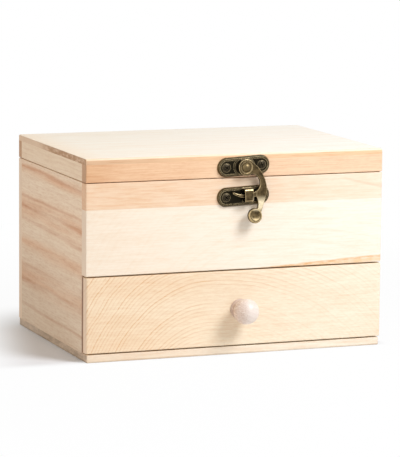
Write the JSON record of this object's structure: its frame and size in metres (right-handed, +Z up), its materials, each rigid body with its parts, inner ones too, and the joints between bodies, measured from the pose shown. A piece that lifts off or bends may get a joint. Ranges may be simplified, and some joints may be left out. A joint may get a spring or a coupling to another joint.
{
  "type": "wooden paint box with drawer",
  "caption": "Bare wooden watercolour paint box: a deep compartment under a back-hinged lid closed by a swing hook latch, over a full-width drawer with a turned wooden knob.",
  "frame": {"origin": "centre of the underside of the base board", "axes": "+X to the right seen from the front, the front faces -Y, +Z up"},
  "size_m": [0.16, 0.131, 0.1021],
  "materials": {
    "base_wood": "bare, sanded",
    "side_wood": "bare, sanded",
    "back_wood": "bare, sanded",
    "front_wood": "bare, sanded, edge glued from two boards",
    "lid_top_wood": "bare, sanded",
    "lid_rail_wood": "bare, sanded",
    "lid_side_wood": "bare, sanded",
    "drawer_face_wood": "bare, sanded",
    "drawer_side_wood": "bare, planed",
    "thin_ply": "bare thin plywood",
    "knob_wood": "bare, turned",
    "antique_bronze": "antique bronze plate, rubbed bright on edges",
    "rivet_brass": "antique bronze, rubbed bright",
    "hinge_bronze": "antique bronze plate",
    "dark_screw": "dark bronze plate",
    "knob_screw_steel": "zinc plate"
  },
  "bodies": {
    "carcass": {"base_panel": "base_wood", "left_side_panel": "side_wood", "right_side_panel": "side_wood", "back_panel": "back_wood", "upper_front_panel": "front_wood", "compartment_floor": "thin_ply", "catch_plate": "antique_bronze", "catch_plate_screws": "dark_screw", "left_hinge_body_leaf": "hinge_bronze", "right_hinge_body_leaf": "hinge_bronze", "left_hinge_pin": "hinge_bronze", "right_hinge_pin": "hinge_bronze", "hinge_body_screws": "dark_screw"},
    "lid": {"lid_top_panel": "lid_top_wood", "lid_front_rail": "lid_rail_wood", "lid_back_rail": "lid_rail_wood", "lid_left_rail": "lid_side_wood", "lid_right_rail": "lid_side_wood", "latch_plate": "antique_bronze", "latch_plate_screws": "dark_screw", "pivot_rivet": "rivet_brass", "left_hinge_lid_leaf": "hinge_bronze", "right_hinge_lid_leaf": "hinge_bronze", "hinge_lid_screws": "dark_screw"},
    "hook": {"latch_hook": "antique_bronze"},
    "drawer": {"drawer_front": "drawer_face_wood", "drawer_left_side": "drawer_side_wood", "drawer_right_side": "drawer_side_wood", "drawer_back": "drawer_side_wood", "drawer_bottom": "thin_ply", "drawer_knob": "knob_wood", "knob_screw": "knob_screw_steel"}
  },
  "joints": [
    {"name": "lid_hinge", "type": "hinge", "parent": "carcass", "child": "lid", "pos_m": [0, 0.0578, 0.09], "axis": [-1, 0, 0], "range_deg": [0, 180]},
    {"name": "hook_swing", "type": "hinge", "parent": "lid", "child": "hook", "pos_m": [0.0036, -0.0591, 0.09545], "axis": [0, -1, 0], "range_deg": [0, 180]},
    {"name": "drawer_slide", "type": "slide", "parent": "carcass", "child": "drawer", "axis": [0, -1, 0], "range_m": [0, 0.085]}
  ]
}
